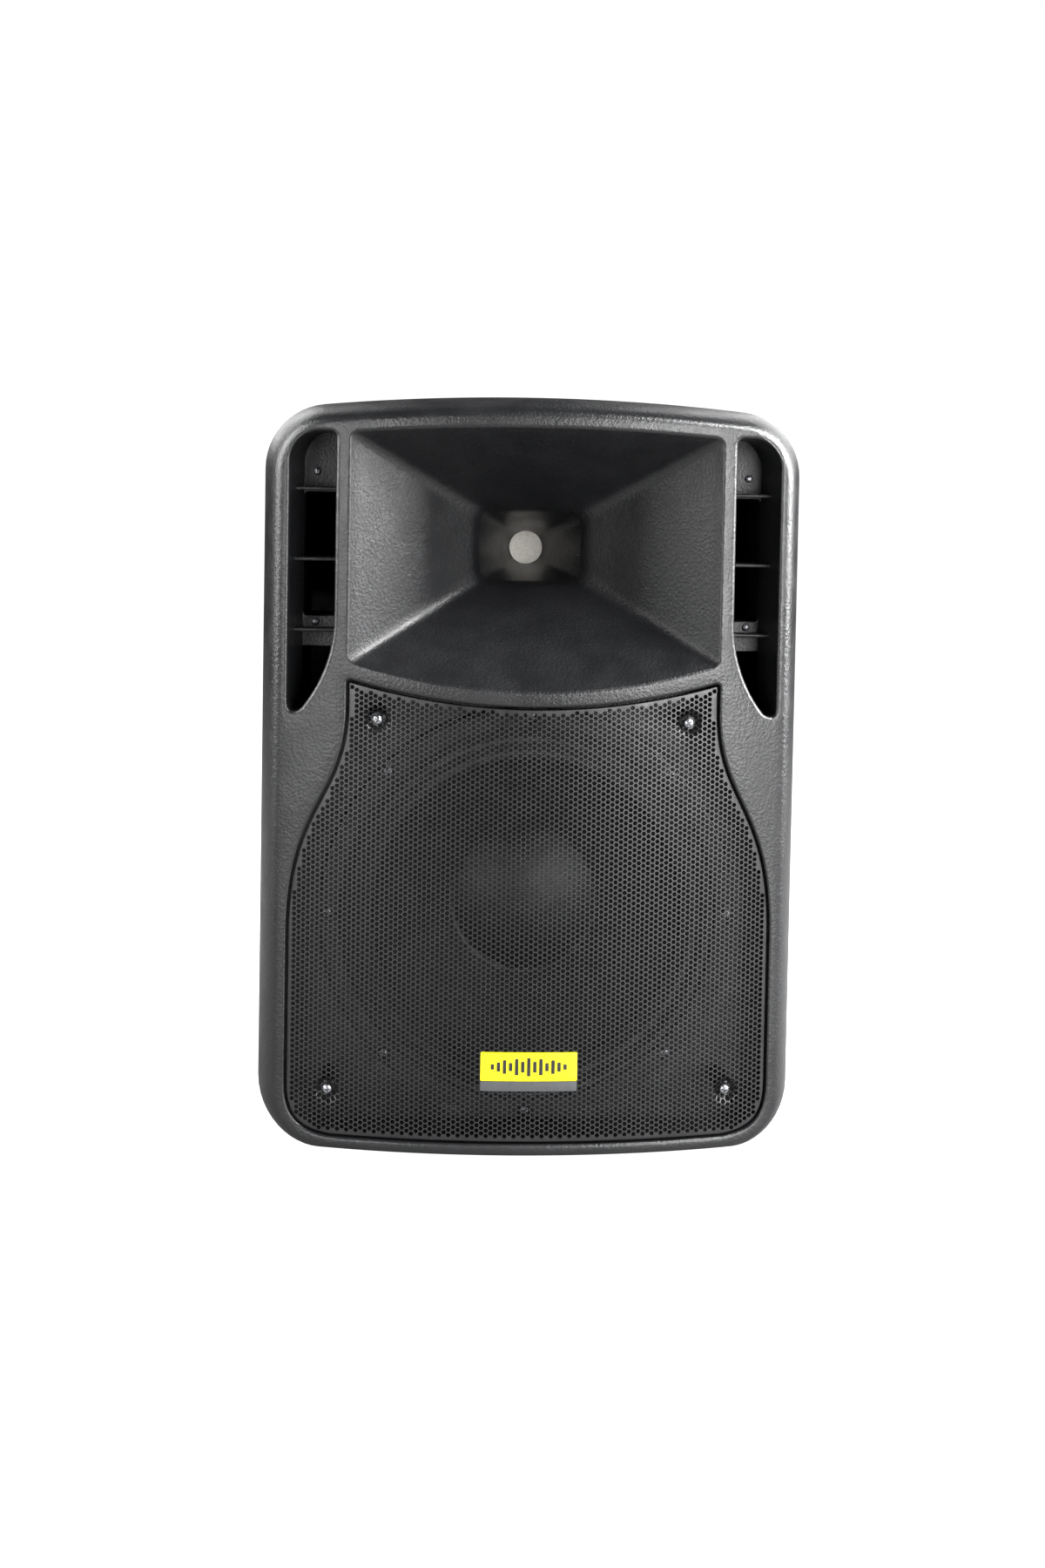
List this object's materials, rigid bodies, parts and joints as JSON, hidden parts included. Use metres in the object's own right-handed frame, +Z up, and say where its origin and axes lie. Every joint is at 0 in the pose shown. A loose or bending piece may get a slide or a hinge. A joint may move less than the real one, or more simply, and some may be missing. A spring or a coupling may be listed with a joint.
{
  "type": "pa speaker cabinet",
  "caption": "Passive two-way moulded PA loudspeaker with a curved front, integral horn flare, vaned side ports, a woofer behind a perforated steel grille, side grips and a pole socket.",
  "frame": {"origin": "on the floor under the feet, at the middle of the width and of the depth", "axes": "+Z up, the grille and horn face -Y, +X is the viewer's right when the front is looked at"},
  "size_m": [0.395, 0.32, 0.553],
  "materials": {
    "shell_plastic": "fine-textured charcoal ABS, satin",
    "port_plastic": "smooth moulded plastic, dark grey",
    "grille_steel": "perforated steel, black satin powder coat",
    "badge_yellow": "glossy yellow",
    "bright_screw": "bright zinc plate",
    "dark_screw": "black oxide",
    "frame_metal": "pressed steel, black paint",
    "gasket_card": "black gasket card",
    "surround_cloth": "treated black cloth",
    "cone_paper": "pressed paper pulp, black",
    "spider_cloth": "resin-treated cotton",
    "copper": "enamelled copper wire",
    "plated_steel": "zinc-plated steel",
    "ferrite": "ground ferrite",
    "diaphragm_film": "thin titanium-coloured film",
    "plate_paint": "black textured powder coat",
    "circuit_board": "green laminate",
    "foot_rubber": "black rubber"
  },
  "bodies": {
    "cabinet": {"front_shell": "shell_plastic", "horn_flare": "shell_plastic", "rear_shell": "shell_plastic", "foot_front_left": "foot_rubber", "foot_front_right": "foot_rubber", "foot_rear_left": "foot_rubber", "foot_rear_right": "foot_rubber", "grille": "grille_steel", "badge_plate": "badge_yellow", "grille_screw_1": "bright_screw", "grille_screw_2": "bright_screw", "grille_screw_3": "bright_screw", "grille_screw_4": "bright_screw", "port_duct_left": "port_plastic", "port_duct_right": "port_plastic", "port_screw_left_1": "bright_screw", "port_screw_left_2": "bright_screw", "port_screw_right_1": "bright_screw", "port_screw_right_2": "bright_screw", "woofer_frame": "frame_metal", "woofer_gasket": "gasket_card", "surround": "surround_cloth", "spider": "spider_cloth", "top_plate": "plated_steel", "woofer_magnet": "ferrite", "back_plate": "plated_steel", "woofer_screw_1": "dark_screw", "woofer_screw_2": "dark_screw", "woofer_screw_3": "dark_screw", "woofer_screw_4": "dark_screw", "woofer_screw_5": "dark_screw", "woofer_screw_6": "dark_screw", "woofer_screw_7": "dark_screw", "woofer_screw_8": "dark_screw", "throat_screen": "plated_steel", "driver_plate": "plated_steel", "driver_magnet": "ferrite", "driver_cover": "port_plastic", "driver_bolt_left": "dark_screw", "driver_bolt_right": "dark_screw", "input_plate": "plate_paint", "speaker_socket_1": "port_plastic", "speaker_socket_2": "port_plastic", "input_screw_1": "dark_screw", "input_screw_2": "dark_screw", "input_screw_3": "dark_screw", "input_screw_4": "dark_screw", "crossover_board": "circuit_board", "inductor_coil": "copper", "capacitor": "badge_yellow", "pole_socket": "port_plastic"},
    "cone_assembly": {"woofer_cone": "cone_paper", "dust_cap": "cone_paper", "voice_coil": "copper"},
    "tweeter_diaphragm": {"driver_diaphragm": "diaphragm_film"}
  },
  "joints": [
    {"name": "cone_excursion", "type": "slide", "parent": "cabinet", "child": "cone_assembly", "axis": [0, -1, 0], "range_m": [-0.006, 0.006], "stiffness_N_per_m": 3000, "deforming": ["surround", "spider"]},
    {"name": "diaphragm_excursion", "type": "slide", "parent": "cabinet", "child": "tweeter_diaphragm", "axis": [0, -1, 0], "range_m": [-0.0004, 0.0004], "stiffness_N_per_m": 2000}
  ]
}
